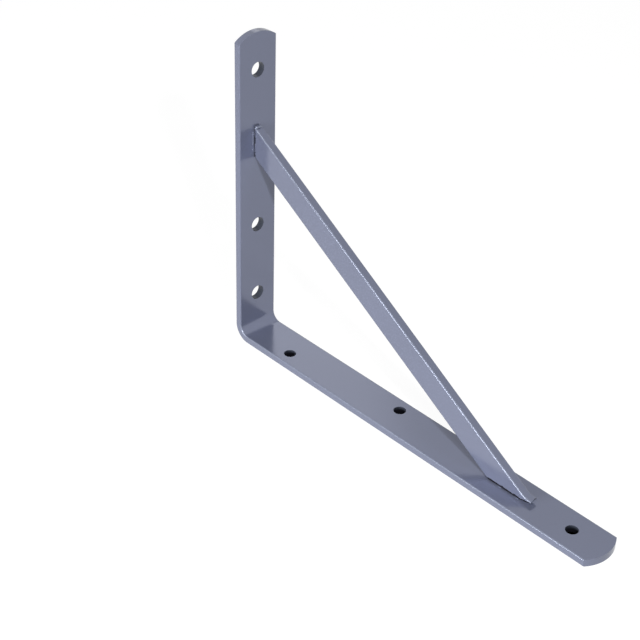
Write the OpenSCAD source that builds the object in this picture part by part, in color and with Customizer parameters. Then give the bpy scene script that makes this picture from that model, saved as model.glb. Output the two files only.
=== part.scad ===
// Braced shelf bracket: one flat bar bent square into a wall leg and a shelf leg, and a narrower bar on
// edge that is spot welded between them. It stands as it is seen, on the flat of the longer leg.
// The wall plane is at the back of the wall leg, and the shelf plane under the shelf leg.

/* [Legs] */
// Width of the flat bar that makes both legs
bar_w = 30; // [26:1:40]
// Thickness of that flat bar
bar_t = 5; // [4:0.5:6]
// Radius of the rolled long edges of that flat bar
bar_edge_r = 0.9; // [0.4:0.1:1.5]
// Shelf leg, from the wall plane to its tip
shelf_leg_l = 310; // [280:5:400]
// Wall leg, from the shelf plane to its tip
wall_leg_h = 220; // [195:5:300]
// Outer radius of the bend between the legs
bend_r = 11.5; // [9:0.5:16]
// Radius of the shallow arc that each leg ends in
end_arc_r = 24; // [22:0.5:40]

/* [Wall holes] */
// Radius of the holes in the wall leg
wall_hole_r = 5; // [3:0.25:6]
// Lowest wall hole, above the shelf plane
wall_hole_low_z = 32; // [28:1:44]
// Middle wall hole, above the shelf plane
wall_hole_mid_z = 85; // [60:1:90]
// Highest wall hole, below the tip of the wall leg
wall_hole_tip_gap = 25; // [18:1:34]

/* [Shelf holes] */
// Radius of the holes in the shelf leg
shelf_hole_r = 4; // [2.5:0.25:5]
// Inner shelf hole, from the wall plane
shelf_hole_in_x = 45; // [30:1:60]
// Middle shelf hole, from the wall plane
shelf_hole_mid_x = 138; // [100:1:150]
// Outer shelf hole, back from the tip of the shelf leg
shelf_hole_tip_gap = 26; // [18:1:34]
// How far the inner and middle shelf holes stand to either side, clear of the brace above them
shelf_hole_side = 5.5; // [3:0.5:7]
// Radius of the rounded rim where a hole was punched in
hole_rim_r = 0.5; // [0.2:0.1:0.8]

/* [Brace] */
// Thickness of the brace bar, across the bracket
brace_t = 6; // [4:0.5:9]
// Depth of the brace bar, on edge
brace_h = 18; // [14:0.5:24]
// Radius of the brace bar's long edges
brace_edge_r = 0.9; // [0.4:0.1:1.5]
// Top of the brace, below the tip of the wall leg
brace_top_drop = 63.5; // [56:0.5:80]
// Toe of the brace, back from the tip of the shelf leg
brace_toe_back = 54; // [45:1:75]
// Gap between the end of the brace and a leg, which the weld spots bridge
weld_gap = 0.4; // [0.2:0.1:0.8]

/* [Sheared toe] */
// How far before its toe the brace starts to curl up
curl_back = 10; // [7:0.5:12]
// Radius of the curl, on its upper side
curl_r = 12; // [10:1:40]
// Blunt end of the toe, back from where the uncurled toe would end
toe_blunt = 1.3; // [0.5:0.1:2]
// How far the underside of the toe has lifted at its end
toe_lift = 2.3; // [1.2:0.1:2.5]
// Length of the lifted underside
toe_lift_l = 8.5; // [6:0.5:12]

/* [Weld spots] */
// Length of each weld spot, along the leg
weld_spot_l = 2.6; // [1.5:0.1:4]
// How far a weld spot swells past each side of the brace
weld_spot_swell = 0.3; // [0.1:0.1:0.8]
// Weld spot near the toe of the brace, in from where the toe lifts
weld_toe_in = 1.8; // [1.4:0.1:4]
// Weld spot near the heel of the brace, in from the heel
weld_heel_in = 10; // [3:0.5:11]
// Upper weld spot at the wall leg, in from the top of the brace
weld_top_in = 5; // [4:0.5:7]
// Lower weld spot at the wall leg, in from the bottom of the brace
weld_low_in = 5; // [2:0.5:6]

/* [Weld flash] */
// Radius of the bead that the weld pushed up along the brace's top edge at the wall leg
bead_r = 1; // [0.6:0.1:1.2]
// Length of that bead, across the brace
bead_l = 5; // [3:0.5:6]
// How far that bead stands past the near side of the brace
bead_out = 0.2; // [0.1:0.1:0.6]
// Radius of the flash that was squeezed out onto the wall leg, along both sides of the brace
flash_r = 0.4; // [0.2:0.1:0.6]
// How far the middle of the flash is from the side of the brace
flash_out = 1.1; // [0.8:0.1:2]
// Top of the flash, below the top of the brace
flash_top_in = 3; // [2:0.5:5]
// Length of the flash
flash_l = 9.2; // [5:0.1:11]
// Length of the short bit of flash below it
flash_bit_l = 1.4; // [1.3:0.1:2]
// Space between the flash and the short bit below it
flash_space = 2.6; // [1:0.1:4]

/* [Hidden] */
$fn = 64;
// Overshoot of a cutter past the metal that it cuts
over = 1;
bend_in_r = bend_r - bar_t;
// Where the brace's upper face would meet the inner faces of the legs
brace_top_z = wall_leg_h - brace_top_drop;
brace_toe_x = shelf_leg_l - brace_toe_back;
brace_a = atan2(brace_top_z - bar_t, brace_toe_x - bar_t);
brace_l = norm([brace_top_z - bar_t, brace_toe_x - bar_t]);
// How far the curl runs on past level, so that the blunt end cuts it all
curl_over = 36;
// The plane of each cut end of the brace, and how far the cut faces reach
brace_end = bar_t + weld_gap;
toe_end_x = brace_toe_x - toe_blunt;
toe_lift_x = toe_end_x - toe_lift_l;
heel_x = brace_toe_x - weld_gap / tan(brace_a) - brace_h / sin(brace_a);
brace_low_z = brace_top_z - weld_gap * tan(brace_a) - brace_h / cos(brace_a);
paint = "slategray";

// Puts the wall plane half the length back, so that the part is centred over its base
module centred() {
    translate([-shelf_leg_l / 2, 0, 0]) children();
}

// Section of a rolled flat bar: width along X, thickness from zero up along Y
module bar_section(width, thickness, edge_r) {
    translate([-width / 2, edge_r]) square([width, thickness - 2 * edge_r]);
    translate([-width / 2 + edge_r, 0]) square([width - 2 * edge_r, thickness]);
    for (side = [-1, 1], v = [edge_r, thickness - edge_r])
        translate([side * (width / 2 - edge_r), v]) circle(r = edge_r);
}

// Lays what is modelled upright, with its length along Z, down along +X
module laid_along_x() {
    rotate([90, 0, 90]) children();
}

// Swings a bar section about an axis along Y, through angle, from straight down towards +X.
// The near face of the section is at radius r from the axis.
module swung_section(r, angle) {
    rotate([90, 0, 0])
        rotate([0, 0, 270])
            rotate_extrude(angle = angle)
                translate([r, 0]) rotate(-90) children();
}

// A straight leg, flat on the XY plane, from start to its arched tip at length, along +X
module leg(start, length) {
    arc_x = length - end_arc_r;
    difference() {
        translate([start, 0, 0])
            laid_along_x() linear_extrude(length - start) bar_section(bar_w, bar_t, bar_edge_r);
        difference() {
            translate([arc_x, -bar_w, -over]) cube([end_arc_r + over, 2 * bar_w, bar_t + 2 * over]);
            translate([arc_x, 0, -2 * over]) cylinder(r = end_arc_r, h = bar_t + 4 * over, $fn = 128);
        }
    }
}

// A hole along Z through a leg that lies from zero up to bar_t, with its rolled-in rim on the upper side
module punched_hole(hole_r) {
    translate([0, 0, -over]) cylinder(r = hole_r, h = bar_t + 2 * over);
    translate([0, 0, bar_t - hole_rim_r])
        rotate_extrude() difference() {
            square([hole_r + hole_rim_r, hole_rim_r + over]);
            translate([hole_r + hole_rim_r, 0]) circle(r = hole_rim_r);
        }
}

// Turns what lies along the shelf leg up onto the wall leg, its inner side kept to the inside
module up_the_wall() {
    mirror([1, 0, -1]) children();
}

module shelf_leg() {
    difference() {
        leg(bend_r, shelf_leg_l);
        translate([shelf_hole_in_x, -shelf_hole_side, 0]) punched_hole(shelf_hole_r);
        translate([shelf_hole_mid_x, shelf_hole_side, 0]) punched_hole(shelf_hole_r);
        translate([shelf_leg_l - shelf_hole_tip_gap, 0, 0]) punched_hole(shelf_hole_r);
    }
}

module wall_leg() {
    up_the_wall() difference() {
        leg(bend_r, wall_leg_h);
        for (z = [wall_hole_low_z, wall_hole_mid_z, wall_leg_h - wall_hole_tip_gap])
            translate([z, 0, 0]) punched_hole(wall_hole_r);
    }
}

module bend() {
    translate([bend_r, 0, bend_r])
        rotate([0, 90, 0]) swung_section(bend_in_r, 90) bar_section(bar_w, bar_t, bar_edge_r);
}

// One flat bar, bent across its width into the two legs
module angle_bar() {
    color(paint) centred() union() {
        shelf_leg();
        bend();
        wall_leg();
    }
}

// The brace bar before its ends are cut, laid on its slope with its toe curled up.
// Along +X it runs down to where its toe would meet the shelf leg, with its upper face at zero.
module brace_stock() {
    translate([brace_toe_x, 0, bar_t]) rotate([0, brace_a, 0]) {
        translate([-brace_l - brace_h, 0, 0]) brace_run(brace_l + brace_h - curl_back);
        translate([-curl_back, 0, curl_r]) swung_section(curl_r, brace_a + curl_over) brace_section();
    }
}

// Section of the brace bar
module brace_section() {
    bar_section(brace_t, brace_h, brace_edge_r);
}

// A straight run of the brace bar along +X, its upper face at zero
module brace_run(length) {
    translate([0, 0, -brace_h]) laid_along_x() linear_extrude(length) brace_section();
}

// The space that the cut ends leave for the brace, seen from the side: upright at the wall leg, level
// over the shelf leg, then lifted along the toe to its blunt end
module brace_side_space() {
    polygon([
        [brace_end, brace_end],
        [toe_lift_x, brace_end],
        [toe_end_x, brace_end + toe_lift],
        [toe_end_x, wall_leg_h],
        [brace_end, wall_leg_h],
    ]);
}

// Raises an outline drawn from the side, X and Z, into a slab across the bracket
module across(width) {
    translate([0, width / 2, 0]) rotate([90, 0, 0]) linear_extrude(width) children();
}

// A round bead along Z with domed ends, from zero up to length
module bead(r, length) {
    rotate_extrude() intersection() {
        union() {
            for (v = [r, length - r]) translate([0, v]) circle(r = r);
            translate([-r, r]) square([2 * r, length - 2 * r]);
        }
        square([r, length]);
    }
}

// The bead across the top edge of the brace's end, clear of the wall leg by the gap
module top_bead() {
    translate([brace_end + bead_r, -brace_t / 2 - bead_out, brace_top_z])
        rotate([-90, 0, 0]) bead(bead_r, bead_l);
}

// A flat bar on edge, cut parallel to the legs at both ends, its thin toe curled by the shear
module brace() {
    color(paint) centred() union() {
        intersection() {
            brace_stock();
            across(brace_t + 2 * over) brace_side_space();
        }
        top_bead();
    }
}

// A weld spot on a leg that lies along +X, across the brace and as high as the gap
module weld_spot(at_x) {
    translate([at_x, 0, bar_t]) intersection() {
        cylinder(r = brace_t / 2 + weld_spot_swell, h = weld_gap);
        translate([-weld_spot_l / 2, -brace_t, 0]) cube([weld_spot_l, 2 * brace_t, weld_gap]);
    }
}

// Flash on a leg that lies along +X, ending at end_x, on one side of the brace
module flash(end_x, length, side) {
    translate([end_x - length, side * (brace_t / 2 + flash_out), bar_t]) intersection() {
        rotate([0, 90, 0]) bead(flash_r, length);
        translate([0, -flash_r, 0]) cube([length, 2 * flash_r, flash_r]);
    }
}

module wall_leg_welds() {
    flash_top = brace_top_z - flash_top_in;
    color(paint) centred() up_the_wall() {
        weld_spot(brace_top_z - weld_top_in);
        weld_spot(brace_low_z + weld_low_in);
        for (side = [-1, 1]) {
            flash(flash_top, flash_l, side);
            flash(flash_top - flash_l - flash_space, flash_bit_l, side);
        }
    }
}

module shelf_leg_welds() {
    color(paint) centred() {
        weld_spot(toe_lift_x - weld_toe_in);
        weld_spot(heel_x + weld_heel_in);
    }
}

angle_bar();
brace();
wall_leg_welds();
shelf_leg_welds();
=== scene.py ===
"""Dresses the braced shelf bracket: a flat bar bent into two legs, a brace on edge, and its weld spots.

All sizes are in metres, in the part's own frame: +X runs along the shelf leg away from the wall, +Z up
the wall leg, and the origin is the centre of the base.
"""

import logging
import math
from dataclasses import dataclass, field
from enum import Enum
from typing import Callable, Iterable, Sequence, Union

import bmesh
import bpy
from mathutils import Matrix, Quaternion, Vector


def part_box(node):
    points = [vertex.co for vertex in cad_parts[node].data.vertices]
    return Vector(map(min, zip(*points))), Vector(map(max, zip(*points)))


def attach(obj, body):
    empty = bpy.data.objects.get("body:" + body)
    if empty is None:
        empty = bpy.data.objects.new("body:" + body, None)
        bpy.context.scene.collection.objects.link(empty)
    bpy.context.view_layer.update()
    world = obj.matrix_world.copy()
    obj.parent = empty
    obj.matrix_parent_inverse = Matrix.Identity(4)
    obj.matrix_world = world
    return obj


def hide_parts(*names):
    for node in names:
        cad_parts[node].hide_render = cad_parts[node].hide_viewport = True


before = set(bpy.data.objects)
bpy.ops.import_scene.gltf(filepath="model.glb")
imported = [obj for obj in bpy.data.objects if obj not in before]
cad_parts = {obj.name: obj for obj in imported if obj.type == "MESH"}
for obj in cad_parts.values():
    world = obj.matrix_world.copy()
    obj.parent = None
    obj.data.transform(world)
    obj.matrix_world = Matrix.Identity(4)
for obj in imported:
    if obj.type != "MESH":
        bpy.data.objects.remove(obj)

MM = 0.001
ARRIS_TURN = (0.2, 0.97)
WHITE = (1.0, 1.0, 1.0, 1.0)
# The colour sockets of a Mix node go by number, because the other kinds there have the same names.
MIX_A, MIX_B, MIX_RESULT = 6, 7, 2
log = logging.getLogger("bracket")

Point = tuple[float, float]
Colour = tuple[float, float, float]
Settings = dict[str, object]
EdgeTest = Callable[[bmesh.types.BMEdge], bool]
FaceChoice = Callable[[Vector, Vector], "Finish"]
Finishes = dict["Finish", bpy.types.Material]


class Face(Enum):
    """The way that the inner face of a leg looks."""

    WALL_LEG = (1.0, 0.0, 0.0)
    SHELF_LEG = (0.0, 0.0, 1.0)


class Finish(Enum):
    """A finish of a face, by its place among the piece's materials."""

    PAINT = 0
    # Lighter, glossier paint on chosen arrises and on the brace toe's end and underside: a painted
    # highlight.
    RUBBED_ARRIS = 1
    # Dark paint on the walls of the holes: painted shade.
    IN_HOLE = 2


@dataclass(frozen=True)
class Signal:
    """The output of a node, on which Python's operators add Math nodes."""

    recipe: "Recipe"
    socket: bpy.types.NodeSocket

    def _with(self, operation: str, first: "Input", second: "Input") -> "Signal":
        """Adds one Math node on two values."""
        return self.recipe.add("ShaderNodeMath", {"operation": operation}, {0: first, 1: second})

    def __add__(self, other: "Input") -> "Signal":
        """Adds to this value."""
        return self._with("ADD", self, other)

    def __sub__(self, other: "Input") -> "Signal":
        """Takes from this value."""
        return self._with("SUBTRACT", self, other)

    def __rsub__(self, other: "Input") -> "Signal":
        """Takes this value from a number."""
        return self._with("SUBTRACT", other, self)

    def __mul__(self, other: "Input") -> "Signal":
        """Multiplies this value."""
        return self._with("MULTIPLY", self, other)

    def __gt__(self, other: "Input") -> "Signal":
        """Is one where this value is the greater."""
        return self._with("GREATER_THAN", self, other)

    __radd__ = __add__
    __rmul__ = __mul__


Input = Union[Signal, float, int, str, bool, Sequence[float], bpy.types.ID]
Inputs = dict[Union[int, str], Union[Input, list[Signal]]]


class Recipe:
    """Adds nodes to one node tree, for a material, a world or a shape."""

    def __init__(self, tree: bpy.types.NodeTree) -> None:
        """Starts from an empty tree.

        Args:
            tree: The tree to fill. What it holds is removed.
        """
        self.tree = tree
        tree.nodes.clear()

    def add(self, kind: str, settings: Settings | None = None, inputs: Inputs | None = None,
            output: int | str = 0) -> Signal:
        """Adds any node.

        Args:
            kind: The node's type.
            settings: Its own settings, set before its sockets are used.
            inputs: Values or links for its input sockets, by name or by number.
            output: Which output the signal carries.

        Returns:
            The signal of the chosen output.
        """
        node = self.tree.nodes.new(kind)
        for name, value in (settings or {}).items():
            setattr(node, name, value)
        for name, value in (inputs or {}).items():
            several = value if isinstance(value, list) else [value]
            for one in several:
                if isinstance(one, Signal):
                    self.tree.links.new(one.socket, node.inputs[name])
                else:
                    node.inputs[name].default_value = one
        return Signal(self, node.outputs[output] if len(node.outputs) else None)

    def noise(self, place: Signal, scale: float, detail: float = 2.0) -> Signal:
        """Adds a noise texture.

        Args:
            place: The coordinates that it reads.
            scale: Features to the metre.
            detail: How many finer layers it holds.

        Returns:
            The noise, about one half on average.
        """
        return self.add("ShaderNodeTexNoise", None, {"Vector": place, "Scale": scale, "Detail": detail})

    def clamp(self, value: Signal) -> Signal:
        """Keeps a value between nought and one."""
        return self.add("ShaderNodeClamp", None, {"Value": value})

    def axis(self, place: Signal, name: str) -> Signal:
        """Picks one of the coordinates, X, Y or Z."""
        return self.add("ShaderNodeSeparateXYZ", None, {"Vector": place}, name)

    def blend(self, factor: Input, low: Signal | Colour, high: Signal | Colour) -> Signal:
        """Mixes two colours.

        Args:
            factor: The share of the second colour.
            low: The first colour, as a signal or as three numbers.
            high: The second colour.

        Returns:
            The mixed colour.
        """
        first, second = (part if isinstance(part, Signal) else (*part, 1.0) for part in (low, high))
        return self.add("ShaderNodeMix", {"data_type": "RGBA"},
                        {"Factor": factor, MIX_A: first, MIX_B: second}, MIX_RESULT)


@dataclass(frozen=True)
class PaintedGapShade:
    """Painted shade: dark, uneven lines for the shadow in the gaps where the brace meets both legs and
    under its toe.
    """

    foot: float
    end: float
    toe_start: float
    toe_length: float = 8.5 * MM
    toe_rise: float = 1.6 * MM
    unevenness: float = 2.0 * MM
    grain_scale: float = 300.0
    blur: float = 0.25 * MM

    def mask(self, recipe: Recipe, place: Signal) -> Signal:
        """Masks the painted gap shade.

        Args:
            recipe: The material that it is for.
            place: The object's coordinates.

        Returns:
            One on the painted gap shade and nought elsewhere.
        """
        ragged = recipe.noise(place, self.grain_scale) * self.unevenness
        along, height = recipe.axis(place, "X"), recipe.axis(place, "Z")
        toe = recipe.clamp((along - self.toe_start) * (1.0 / self.toe_length))
        foot_edge = self.foot + ragged + toe * toe * self.toe_rise
        at_foot = recipe.clamp((foot_edge - height) * (1.0 / self.blur))
        at_end = recipe.clamp((self.end + ragged - along) * (1.0 / self.blur))
        return recipe.clamp(at_foot + at_end)


@dataclass(frozen=True)
class GlossPaint:
    """Smooth paint with a metallic gloss, on steel, which can carry painted shade."""

    name: str
    colour: Colour = (0.212, 0.234, 0.335)
    metallic: float = 0.23
    shade: float = 0.94
    roughness: tuple[float, float] = (0.15, 0.21)
    ior: float = 1.5
    patch_scale: float = 22.0
    wave_scale: float = 60.0
    wave_height: float = 0.006 * MM
    painted_shade_colour: Colour = (0.012, 0.012, 0.018)
    # gap_shade and painted_shade_depths paint shade into the colour: dark in the gaps by the brace, and
    # dark towards the bottom of a hole.
    gap_shade: PaintedGapShade | None = None
    painted_shade_depths: tuple[float, float] | None = None

    def material(self) -> bpy.types.Material:
        """Builds the paint.

        Returns:
            The material, which reads object coordinates alone.
        """
        material = bpy.data.materials.new(self.name)
        material.use_nodes = True
        recipe = Recipe(material.node_tree)
        place = recipe.add("ShaderNodeTexCoord", None, None, "Object")
        patches = recipe.noise(place, self.patch_scale, detail=3.0)
        worn = tuple(part * self.shade for part in self.colour)
        tint = recipe.blend(patches, worn, self.colour)
        # Painted shade in the gaps where the brace meets the legs and under its toe.
        if self.gap_shade:
            tint = recipe.blend(self.gap_shade.mask(recipe, place), tint, self.painted_shade_colour)
        # Painted shade: darker towards the bottom, below painted_shade_depths.
        if self.painted_shade_depths:
            low, high = self.painted_shade_depths
            rise = recipe.clamp((recipe.axis(place, "Z") - low) * (1.0 / (high - low)))
            tint = recipe.blend(rise, self.painted_shade_colour, tint)
        low, high = self.roughness
        sheen = low + (high - low) * recipe.noise(place, self.patch_scale * 2)
        waves = recipe.noise(place, self.wave_scale, detail=1.0) * self.wave_height
        bump = recipe.add("ShaderNodeBump", None, {"Strength": 1.0, "Distance": 1.0, "Height": waves})
        surface = recipe.add("ShaderNodeBsdfPrincipled", None, {
            "Base Color": tint, "Metallic": self.metallic, "Roughness": sheen,
            "IOR": self.ior, "Normal": bump})
        recipe.add("ShaderNodeOutputMaterial", None, {"Surface": surface})
        return material


def mesh_object(name: str, shape: bmesh.types.BMesh) -> bpy.types.Object:
    """Turns a bmesh into an object in the scene, and frees the bmesh.

    Args:
        name: The object's name, and its mesh's.
        shape: The bmesh.

    Returns:
        The object.
    """
    mesh = bpy.data.meshes.new(name)
    shape.to_mesh(mesh)
    shape.free()
    piece = bpy.data.objects.new(name, mesh)
    bpy.context.scene.collection.objects.link(piece)
    return piece


def settle(piece: bpy.types.Object) -> None:
    """Turns what a piece's modifiers make into its own plain mesh, and removes the modifiers.

    Args:
        piece: The piece.
    """
    graph = bpy.context.evaluated_depsgraph_get()
    made = bpy.data.meshes.new_from_object(piece.evaluated_get(graph), depsgraph=graph)
    piece.modifiers.clear()
    made.name = piece.name
    piece.data = made


def set_inputs(modifier: bpy.types.NodesModifier, values: Settings) -> None:
    """Sets a shape tree's named inputs by the identifiers of their sockets.

    Args:
        modifier: The modifier that holds the tree.
        values: A value for each name.
    """
    for item in modifier.node_group.interface.items_tree:
        if item.item_type == "SOCKET" and item.in_out == "INPUT" and item.name in values:
            modifier[item.identifier] = values[item.name]


def prism(shape: bmesh.types.BMesh, outline: Iterable[Point], low: float, high: float,
          turn: Matrix) -> None:
    """Adds a closed prism to a bmesh.

    Args:
        shape: The bmesh that it is added to.
        outline: Its corners in the plane.
        low: Where it starts across the plane.
        high: Where it ends.
        turn: Takes the plane's two directions and the height to the part's frame.
    """
    corners = list(outline)
    rings = [[shape.verts.new(turn @ Vector((u, v, level))) for u, v in corners] for level in (low, high)]
    shape.faces.new(rings[0])
    shape.faces.new(rings[1])
    for i, _ in enumerate(corners):
        j = (i + 1) % len(corners)
        shape.faces.new([rings[0][i], rings[0][j], rings[1][j], rings[1][i]])


def arc(centre: Point, radius: float, start: float, end: float, steps: int) -> list[Point]:
    """Gives the points of an arc, its angles in radians."""
    angles = [start + (end - start) * i / steps for i in range(steps + 1)]
    return [(centre[0] + radius * math.cos(a), centre[1] + radius * math.sin(a)) for a in angles]


@dataclass
class FlatBarTree:
    """The shape tree of a rolled flat bar: a rounded section swept along a path, then cut and punched."""

    name: str = "flat_bar"
    arris_steps: int = 6
    punch_sides: int = 96
    punch_length: float = 3.0

    def build(self) -> bpy.types.GeometryNodeTree:
        """Builds the tree.

        Returns:
            A tree whose input mesh holds the path as edges and the holes as loose points, each with its
            radius in hole_r and its direction in hole_axis.
        """
        tree = bpy.data.node_groups.new(self.name, "GeometryNodeTree")
        ports = [("Geometry", "INPUT", "NodeSocketGeometry"), ("Across", "INPUT", "NodeSocketFloat"),
                 ("Along Bend", "INPUT", "NodeSocketFloat"), ("Arris Radius", "INPUT", "NodeSocketFloat"),
                 ("Bend Radius", "INPUT", "NodeSocketFloat"), ("Bend Steps", "INPUT", "NodeSocketInt"),
                 ("Waste", "INPUT", "NodeSocketObject"), ("Paint", "INPUT", "NodeSocketMaterial"),
                 ("Geometry", "OUTPUT", "NodeSocketGeometry")]
        for name, way, kind in ports:
            tree.interface.new_socket(name, in_out=way, socket_type=kind)
        recipe = Recipe(tree)
        given = {name: recipe.add("NodeGroupInput", None, None, name)
                 for name, way, _ in ports if way == "INPUT"}
        section = recipe.add("GeometryNodeCurvePrimitiveQuadrilateral", {"mode": "RECTANGLE"},
                             {"Width": given["Along Bend"], "Height": given["Across"]})
        section = recipe.add("GeometryNodeFilletCurve", {"mode": "POLY"},
                             {0: section, "Count": self.arris_steps, "Radius": given["Arris Radius"]})
        path = recipe.add("GeometryNodeMeshToCurve", None, {0: given["Geometry"]})
        path = recipe.add("GeometryNodeFilletCurve", {"mode": "POLY"},
                          {0: path, "Count": given["Bend Steps"], "Radius": given["Bend Radius"]})
        bar = recipe.add("GeometryNodeCurveToMesh", None,
                         {"Curve": path, "Profile Curve": section, "Fill Caps": True})
        radius = recipe.add("GeometryNodeInputNamedAttribute", {"data_type": "FLOAT"}, {"Name": "hole_r"})
        axis = recipe.add("GeometryNodeInputNamedAttribute", {"data_type": "FLOAT_VECTOR"},
                          {"Name": "hole_axis"})
        turned = recipe.add("FunctionNodeAlignRotationToVector", {"axis": "Z"}, {"Vector": axis})
        punch = recipe.add("GeometryNodeMeshCylinder", None,
                           {"Vertices": self.punch_sides, "Radius": 1.0, "Depth": 1.0})
        length = given["Along Bend"] * self.punch_length
        size = recipe.add("ShaderNodeCombineXYZ", None, {"X": radius, "Y": radius, "Z": length})
        punches = recipe.add("GeometryNodeInstanceOnPoints", None,
                             {"Points": given["Geometry"], "Selection": radius > 0.0, "Instance": punch,
                              "Rotation": turned, "Scale": size})
        punches = recipe.add("GeometryNodeRealizeInstances", None, {0: punches})
        waste = recipe.add("GeometryNodeObjectInfo", {"transform_space": "ORIGINAL"},
                           {"Object": given["Waste"]}, "Geometry")
        cut = recipe.add("GeometryNodeMeshBoolean", {"operation": "DIFFERENCE", "solver": "EXACT"},
                         {"Mesh 1": bar, "Mesh 2": [waste, punches]})
        done = recipe.add("GeometryNodeRealizeInstances", None, {0: cut})
        done = recipe.add("GeometryNodeSetMaterial", None, {0: done, "Material": given["Paint"]})
        recipe.add("NodeGroupOutput", None, {0: done})
        return tree


@dataclass(frozen=True)
class Hole:
    """A punched hole, placed along its leg from the outer corner and to one side of its middle."""

    along: float
    side: float
    radius: float


class Piece:
    """What every piece of the bracket shares: how it is finished, and how it is handed to the frame."""

    same_place = 0.002 * MM
    flat_angle = math.radians(0.2)
    sharp_angle = math.radians(40.0)
    rounding_steps = 3

    def soften(self, piece: bpy.types.Object, widths: dict[float, EdgeTest], widest: float) -> None:
        """Rounds the sharp edges of a cut bar, as paint does, and gives it clean normals.

        Args:
            piece: The bar.
            widths: For each share of the widest rounding, the edges' test. An edge takes the first share
                whose test it passes, and one that gets no share stays a crease.
            widest: The widest rounding.
        """
        shape = bmesh.new()
        shape.from_mesh(piece.data)
        bmesh.ops.remove_doubles(shape, verts=shape.verts, dist=self.same_place)
        bmesh.ops.dissolve_limit(shape, angle_limit=self.flat_angle, verts=shape.verts, edges=shape.edges)
        weight = shape.edges.layers.float.new("bevel_weight_edge")
        for edge in shape.edges:
            if len(edge.link_faces) == 2 and edge.calc_face_angle() > self.sharp_angle:
                edge[weight] = next(share for share, test in widths.items() if test(edge))
                edge.smooth = edge[weight] > 0.0
        for face in shape.faces:
            face.smooth = True
        shape.to_mesh(piece.data)
        shape.free()
        bevel = piece.modifiers.new("soft_edges", "BEVEL")
        bevel.limit_method = "WEIGHT"
        bevel.offset_type = "OFFSET"
        bevel.width = widest
        bevel.segments = self.rounding_steps
        bevel.use_clamp_overlap = True
        normals = piece.modifiers.new("clean_normals", "WEIGHTED_NORMAL")
        normals.weight = 100
        normals.keep_sharp = True
        settle(piece)

    @staticmethod
    def dress(piece: bpy.types.Object, finishes: Finishes, choose: FaceChoice) -> None:
        """Gives each face of a piece its finish.

        Args:
            piece: The piece.
            finishes: A material for each finish, in the order of their places.
            choose: Picks the finish from a face's middle and the way that it looks.
        """
        piece.data.materials.clear()
        for finish in Finish:
            piece.data.materials.append(finishes[finish])
        for face in piece.data.polygons:
            face.material_index = choose(face.center, face.normal).value

    @staticmethod
    def hand_over(piece: bpy.types.Object, node: str, slot: str) -> None:
        """Lets a piece stand for a node, and logs it.

        Args:
            piece: The piece, which is finished.
            node: The node that it replaces.
            slot: Not used.
        """
        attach(piece, "root")
        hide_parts(node)
        log.info("%s: %d faces, for %s", piece.name, len(piece.data.polygons), node)


def is_rounded(way: Vector) -> bool:
    """Tells whether a face that looks this way is part of a rounded arris, between a side and a flat."""
    flat, side = ARRIS_TURN
    return flat < abs(way.y) < side


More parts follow.
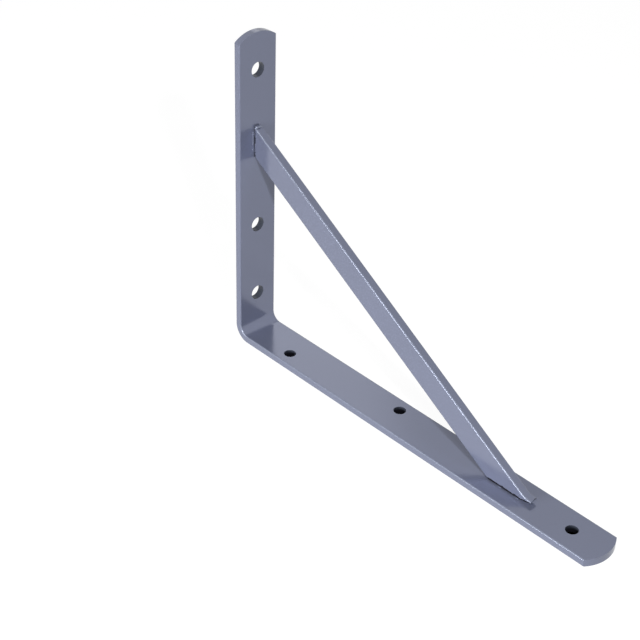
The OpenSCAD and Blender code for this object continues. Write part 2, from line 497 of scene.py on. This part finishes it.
@dataclass
class BentBar(Piece):
    """The flat bar that is bent into the wall leg and the shelf leg."""

    tree: bpy.types.GeometryNodeTree
    thickness: float = 5.0 * MM
    arris_r: float = 0.9 * MM
    bend_r: float = 11.5 * MM
    bend_steps: int = 28
    tip_r: float = 24.0 * MM
    tip_steps: int = 48
    wall_holes: tuple[Hole, ...] = (
        Hole(32 * MM, 0.0, 5 * MM), Hole(85 * MM, 0.0, 5 * MM), Hole(195 * MM, 0.0, 5 * MM))
    shelf_holes: tuple[Hole, ...] = (
        Hole(45 * MM, -5.5 * MM, 4 * MM), Hole(138 * MM, 5.5 * MM, 4 * MM), Hole(284 * MM, 0.0, 4 * MM))
    waste_spare: float = 1.0 * MM
    waste_reach: float = 3.0 * MM
    rim_r: float = 0.4 * MM
    cut_share: float = 0.5
    near: float = 0.05 * MM
    arris_reach: float = 1.05
    upward: float = 0.2
    level: float = 0.1
    low: Vector = field(init=False)
    high: Vector = field(init=False)

    def __post_init__(self) -> None:
        """Reads the bar's overall size from the frame."""
        self.low, self.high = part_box("angle_bar")

    def _guide(self) -> bpy.types.Object:
        """Draws the path of the bar's middle, and the centre of each hole.

        Returns:
            An object that the shape tree turns into the bar.
        """
        shape = bmesh.new()
        hole_r = shape.verts.layers.float.new("hole_r")
        hole_axis = shape.verts.layers.float_vector.new("hole_axis")
        middle = self.thickness / 2
        spots = [(self.low.x + middle, 0.0, self.high.z), (self.low.x + middle, 0.0, middle),
                 (self.high.x, 0.0, middle)]
        path = [shape.verts.new(spot) for spot in spots]
        for start, end in zip(path, path[1:]):
            shape.edges.new((start, end))
        for face, holes in ((Face.WALL_LEG, self.wall_holes), (Face.SHELF_LEG, self.shelf_holes)):
            for hole in holes:
                on_wall = face is Face.WALL_LEG
                spot = (self.low.x + (middle if on_wall else hole.along), hole.side,
                        hole.along if on_wall else middle)
                centre = shape.verts.new(spot)
                centre[hole_r] = hole.radius
                centre[hole_axis] = Vector(face.value)
        return mesh_object("bent_bar", shape)

    def _waste(self) -> bpy.types.Object:
        """Makes the two blocks that leave a shallow arc at each tip.

        Returns:
            One object with both blocks.
        """
        half = (self.high.y - self.low.y) / 2 + self.waste_spare
        sweep = math.asin(half / self.tip_r)
        lying = Matrix.Identity(3)
        standing = Matrix(((0, 0, 1), (0, 1, 0), (1, 0, 0)))
        shape = bmesh.new()
        for length, start, turn in ((self.high.x, 0.0, lying), (self.high.z, self.low.x, standing)):
            middle = start + self.thickness / 2
            rim = arc((length - self.tip_r, 0.0), self.tip_r, -sweep, sweep, self.tip_steps)
            end = length + self.waste_reach
            outline = [*rim, (end, half), (end, -half)]
            prism(shape, outline, middle - self.thickness, middle + self.thickness, turn)
        bmesh.ops.recalc_face_normals(shape, faces=shape.faces)
        return mesh_object("tip_waste", shape)

    def _from_hole(self, spot: Vector) -> tuple[float, float]:
        """Measures a spot on the bar against the holes of its leg.

        Args:
            spot: The spot.

        Returns:
            How far it lies outside the nearest hole, and how far below the leg's inner face.
        """
        if self._on_wall_leg(spot):
            holes, along, depth = self.wall_holes, spot.z, self.low.x + self.thickness - spot.x
        else:
            holes, along, depth = self.shelf_holes, spot.x - self.low.x, self.thickness - spot.z
        away = min(math.hypot(along - hole.along, spot.y - hole.side) - hole.radius for hole in holes)
        return away, depth

    def _is_rim(self, edge: bmesh.types.BMEdge) -> bool:
        """Tells whether an edge is the rim of a hole on the inner face of a leg."""
        away, depth = self._from_hole((edge.verts[0].co + edge.verts[1].co) / 2)
        return abs(away) < self.near and abs(depth) < self.near

    def _in_hole(self, spot: Vector) -> bool:
        """Tells whether a spot on the bar is on the wall of a hole, below its rim."""
        away, depth = self._from_hole(spot)
        return away < self.near and depth > 0.0

    def _on_wall_leg(self, spot: Vector) -> bool:
        """Tells whether a spot is on the straight part of the wall leg."""
        return spot.z > self.bend_r

    def _on_shelf_leg(self, spot: Vector) -> bool:
        """Tells whether a spot is on the straight part of the shelf leg."""
        return spot.x > self.low.x + self.bend_r

    def _on_arris(self, spot: Vector, way: Vector) -> bool:
        """Looks for the inner arris of the shelf leg and of the bend, which gets the painted highlight.

        Args:
            spot: The middle of a face.
            way: The way that it looks.

        Returns:
            Whether the face is part of it.
        """
        by_side = abs(spot.y) > self.high.y - self.arris_reach * self.arris_r
        if not by_side or not is_rounded(way) or self._on_wall_leg(spot):
            return False
        if self._on_shelf_leg(spot):
            return way.z > self.upward and abs(way.x) < self.level
        return way.x + way.z > self.upward

    def _choose(self, spot: Vector, way: Vector) -> Finish:
        """Picks the finish of a face.

        Args:
            spot: Its middle.
            way: The way that it looks.

        Returns:
            The finish.
        """
        # Painted highlight on the arris, painted shade on the hole walls.
        if self._on_arris(spot, way):
            return Finish.RUBBED_ARRIS
        return Finish.IN_HOLE if self._in_hole(spot) else Finish.PAINT

    def build(self, finishes: Finishes) -> bpy.types.Object:
        """Makes the bent bar.

        Args:
            finishes: Its finishes.

        Returns:
            The finished piece, which rides and stands for its node.
        """
        bar, waste = self._guide(), self._waste()
        shape = bar.modifiers.new("shape", "NODES")
        shape.node_group = self.tree
        set_inputs(shape, {
            "Across": self.high.y - self.low.y, "Along Bend": self.thickness, "Arris Radius": self.arris_r,
            "Bend Radius": self.bend_r - self.thickness / 2, "Bend Steps": self.bend_steps,
            "Waste": waste, "Paint": finishes[Finish.PAINT]})
        settle(bar)
        bpy.data.objects.remove(waste)
        self.soften(bar, {1.0: self._is_rim, self.cut_share: lambda edge: True}, self.rim_r)
        self.dress(bar, finishes, self._choose)
        self.hand_over(bar, "angle_bar", "bar_paint")
        return bar


@dataclass
class Brace(Piece):
    """The narrower bar on edge, cut parallel to both legs."""

    foot_r: float = 0.8 * MM
    cut_share: float = 0.3
    bead_r: float = 1.0 * MM
    bead_place: Point = (6.4 * MM, 156.5 * MM)
    bead_reach: float = 1.6
    foot_top: float = 5.7 * MM
    foot_slant: float = 0.2 * MM
    top_way: Vector = field(default_factory=lambda: Vector((0.514, 0.0, 0.858)))
    upward: float = 0.2
    outward: float = 0.75
    downward: float = -0.9
    curled: float = 0.15

    def _by_bead(self, edge: bmesh.types.BMEdge) -> bool:
        """Looks for the bead on the brace's top edge.

        Args:
            edge: An edge of the brace.

        Returns:
            Whether the edge is close to it.
        """
        spot = (edge.verts[0].co + edge.verts[1].co) / 2
        low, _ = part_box("angle_bar")
        along, height = self.bead_place
        return math.hypot(spot.x - low.x - along, spot.z - height) < self.bead_reach * self.bead_r

    def _at_foot(self, edge: bmesh.types.BMEdge) -> bool:
        """Tells whether an edge runs along the brace's foot, just above the shelf leg."""
        first, last = edge.verts[0].co, edge.verts[1].co
        return max(first.z, last.z) < self.foot_top and abs(first.y - last.y) < self.foot_slant

    def _choose(self, spot: Vector, way: Vector) -> Finish:
        """Picks the finish of a face: the upper arrises and the toe's end and underside get the painted
        highlight.

        Args:
            spot: Its middle, which makes no difference here.
            way: The way that it looks.

        Returns:
            The finish.
        """
        on_arris = is_rounded(way) and way.dot(self.top_way) > self.upward
        on_blunt_end = way.x > self.outward
        under_toe = way.z < self.downward and way.x > self.curled
        return Finish.RUBBED_ARRIS if on_arris or on_blunt_end or under_toe else Finish.PAINT

    def build(self, finishes: Finishes) -> bpy.types.Object:
        """Makes the brace from the frame's own solid, with its cut edges rounded.

        Args:
            finishes: Its finishes.

        Returns:
            The finished piece, which rides and stands for its node.
        """
        shape = bmesh.new()
        shape.from_mesh(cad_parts["brace"].data)
        brace = mesh_object("brace_bar", shape)
        self.soften(brace, {0.0: self._by_bead, 1.0: self._at_foot, self.cut_share: lambda edge: True},
                    self.foot_r)
        self.dress(brace, finishes, self._choose)
        self.hand_over(brace, "brace", "brace_paint")
        return brace


@dataclass(frozen=True)
class SoftBox:
    """A lamp with a square white front, placed around the spot that the camera looks at."""

    name: str
    azimuth: float
    elevation: float
    distance: float
    size: tuple[float, float]
    power: float
    roll: float = 0.0
    tip: float = 0.0

    def hang(self, aim: Vector) -> None:
        """Hangs the lamp so that it faces a spot, or the floor in front of it where it is tipped.

        Args:
            aim: The spot.
        """
        turn, rise = math.radians(self.azimuth), math.radians(self.elevation)
        way = Vector((math.cos(rise) * math.cos(turn), math.cos(rise) * math.sin(turn), math.sin(rise)))
        light = bpy.data.lights.new(self.name, "AREA")
        light.shape = "RECTANGLE"
        light.size, light.size_y = self.size
        light.energy = self.power
        lamp = bpy.data.objects.new(self.name, light)
        lamp.location = aim + way * self.distance
        level = way.to_track_quat("Z", "Y")
        tipped = Quaternion((1.0, 0.0, 0.0), -math.radians(self.tip))
        rolled = Quaternion((0.0, 0.0, 1.0), math.radians(self.roll))
        lamp.rotation_euler = (level @ tipped @ rolled).to_euler()
        bpy.context.scene.collection.objects.link(lamp)


@dataclass
class Studio:
    """The floor, the light and the camera."""

    lamps: tuple[SoftBox, ...]
    room_light: float = 0.02
    floor_half: float = 6.0
    floor_colour: float = 0.25
    floor_shadow: float = 0.15
    floor_seen: float = 0.96
    shade_margins: tuple[float, float] = (7 * MM, 2 * MM)
    light_aim: tuple[float, float, float] = (0.0, 0.0, 0.08)
    camera_place: tuple[float, float, float] = (0.510402, -0.563271, 0.58195)
    camera_aim: tuple[float, float, float] = (-0.08754, 0.0, 0.040763)
    camera_roll: float = 1.6515
    focal_mm: float = 85.17

    def floor(self) -> None:
        """Lays a plain floor that looks white and keeps the shadow; beneath the bar it is black, as
        painted shade.
        """
        shape = bmesh.new()
        half = self.floor_half
        corners = ((-half, -half), (half, -half), (half, half), (-half, half))
        shape.faces.new([shape.verts.new((x, y, 0.0)) for x, y in corners])
        floor = mesh_object("floor", shape)
        material = bpy.data.materials.new("pale_floor")
        material.use_nodes = True
        recipe = Recipe(material.node_tree)
        seen = recipe.add("ShaderNodeLightPath", None, None, "Is Camera Ray")
        mirrored = recipe.add("ShaderNodeLightPath", None, None, "Is Glossy Ray")
        place = recipe.add("ShaderNodeTexCoord", None, None, "Object")
        # Beneath the bar's footprint the floor is black, neither lit nor glowing: painted shade, seen
        # through the shelf holes.
        inside = [recipe.add("ShaderNodeMath", {"operation": "COMPARE"}, {
            0: recipe.axis(place, name), 1: (end + start) / 2, 2: (end - start) / 2 - margin})
            for name, start, end, margin in zip("XY", *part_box("angle_bar"), self.shade_margins)]
        outside_painted_shade = 1.0 - inside[0] * inside[1]
        grey = self.floor_colour - seen * (self.floor_colour - self.floor_shadow)
        matt = recipe.add("ShaderNodeBsdfDiffuse", None, {"Color": outside_painted_shade * grey})
        strength = outside_painted_shade * ((seen + mirrored) * self.floor_seen)
        glow = recipe.add("ShaderNodeEmission", None, {"Color": WHITE, "Strength": strength})
        surface = recipe.add("ShaderNodeAddShader", None, {0: matt, 1: glow})
        recipe.add("ShaderNodeOutputMaterial", None, {"Surface": surface})
        floor.data.materials.append(material)

    def world(self) -> None:
        """Fills the room with even light, and shows it white."""
        world = bpy.data.worlds.new("room")
        bpy.context.scene.world = world
        world.use_nodes = True
        recipe = Recipe(world.node_tree)
        seen = recipe.add("ShaderNodeLightPath", None, None, "Is Camera Ray")
        mirrored = recipe.add("ShaderNodeLightPath", None, None, "Is Glossy Ray")
        strength = (seen + mirrored) * (1.0 - self.room_light) + self.room_light
        light = recipe.add("ShaderNodeBackground", None, {"Color": WHITE, "Strength": strength})
        recipe.add("ShaderNodeOutputWorld", None, {"Surface": light})

    def camera(self) -> None:
        """Places the camera where the photograph was taken from."""
        lens = bpy.data.cameras.new("camera")
        lens.sensor_width = 36.0
        lens.lens = self.focal_mm
        camera = bpy.data.objects.new("camera", lens)
        camera.location = self.camera_place
        level = (Vector(self.camera_aim) - Vector(self.camera_place)).to_track_quat("-Z", "Y")
        roll = Quaternion((0.0, 0.0, 1.0), math.radians(self.camera_roll))
        camera.rotation_euler = (level @ roll).to_euler()
        bpy.context.scene.collection.objects.link(camera)
        bpy.context.scene.camera = camera

    def build(self) -> None:
        """Sets the whole studio up."""
        self.floor()
        self.world()
        for lamp in self.lamps:
            lamp.hang(Vector(self.light_aim))
        self.camera()
        bpy.context.scene.view_settings.view_transform = "Standard"


SOFT_BOXES = (
    SoftBox("left_low", 270.0, 7.0, 1.1, (0.8, 0.4), 18.0, tip=61.0),
    SoftBox("key", 328.0, 36.0, 1.6, (0.08, 0.08), 13.3),
    SoftBox("high_strip", 282.3, 60.2, 1.6, (0.5, 0.06), 2.4, roll=-36.5),
    SoftBox("left_strip", 229.0, 37.0, 1.6, (0.45, 0.06), 1.0),
    SoftBox("behind_left", 141.0, 30.0, 1.4, (0.3, 0.4), 0.3),
)


def main() -> None:
    """Builds the bracket and its studio."""
    logging.basicConfig(level=logging.INFO, format="%(name)s %(message)s")
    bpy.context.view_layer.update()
    finishes = {
        Finish.PAINT: GlossPaint("blue_grey_gloss").material(),
        # A lighter, more metallic paint that makes a painted highlight on arrises.
        Finish.RUBBED_ARRIS: GlossPaint(
            "rubbed_arris", colour=(0.255, 0.283, 0.378), metallic=0.3, roughness=(0.2, 0.26)).material(),
        # A dark paint for the hole walls, darker towards the bottom: painted shade.
        Finish.IN_HOLE: GlossPaint(
            "thin_paint_in_holes", colour=(0.065, 0.075, 0.105), metallic=0.2, roughness=(0.3, 0.4),
            ior=1.3, painted_shade_depths=(2.2 * MM, 4.6 * MM)).material(),
    }
    _, brace_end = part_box("brace")
    # Painted shade along the brace's gaps with both legs and under its lifted toe.
    gap_shade = PaintedGapShade(foot=5.8 * MM, end=-150.0 * MM, toe_start=brace_end.x - PaintedGapShade.toe_length)
    gap_shaded = GlossPaint("blue_grey_with_seams", gap_shade=gap_shade).material()
    BentBar(FlatBarTree().build()).build(finishes)
    Brace().build({**finishes, Finish.PAINT: gap_shaded})
    for node in ("wall_leg_welds", "shelf_leg_welds"):
        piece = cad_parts[node]
        piece.data.materials.clear()
        piece.data.materials.append(finishes[Finish.PAINT])
        log.info("%s: %d faces, painted as it is", node, len(piece.data.polygons))
    Studio(SOFT_BOXES).build()


if __name__ == "__main__":
    main()
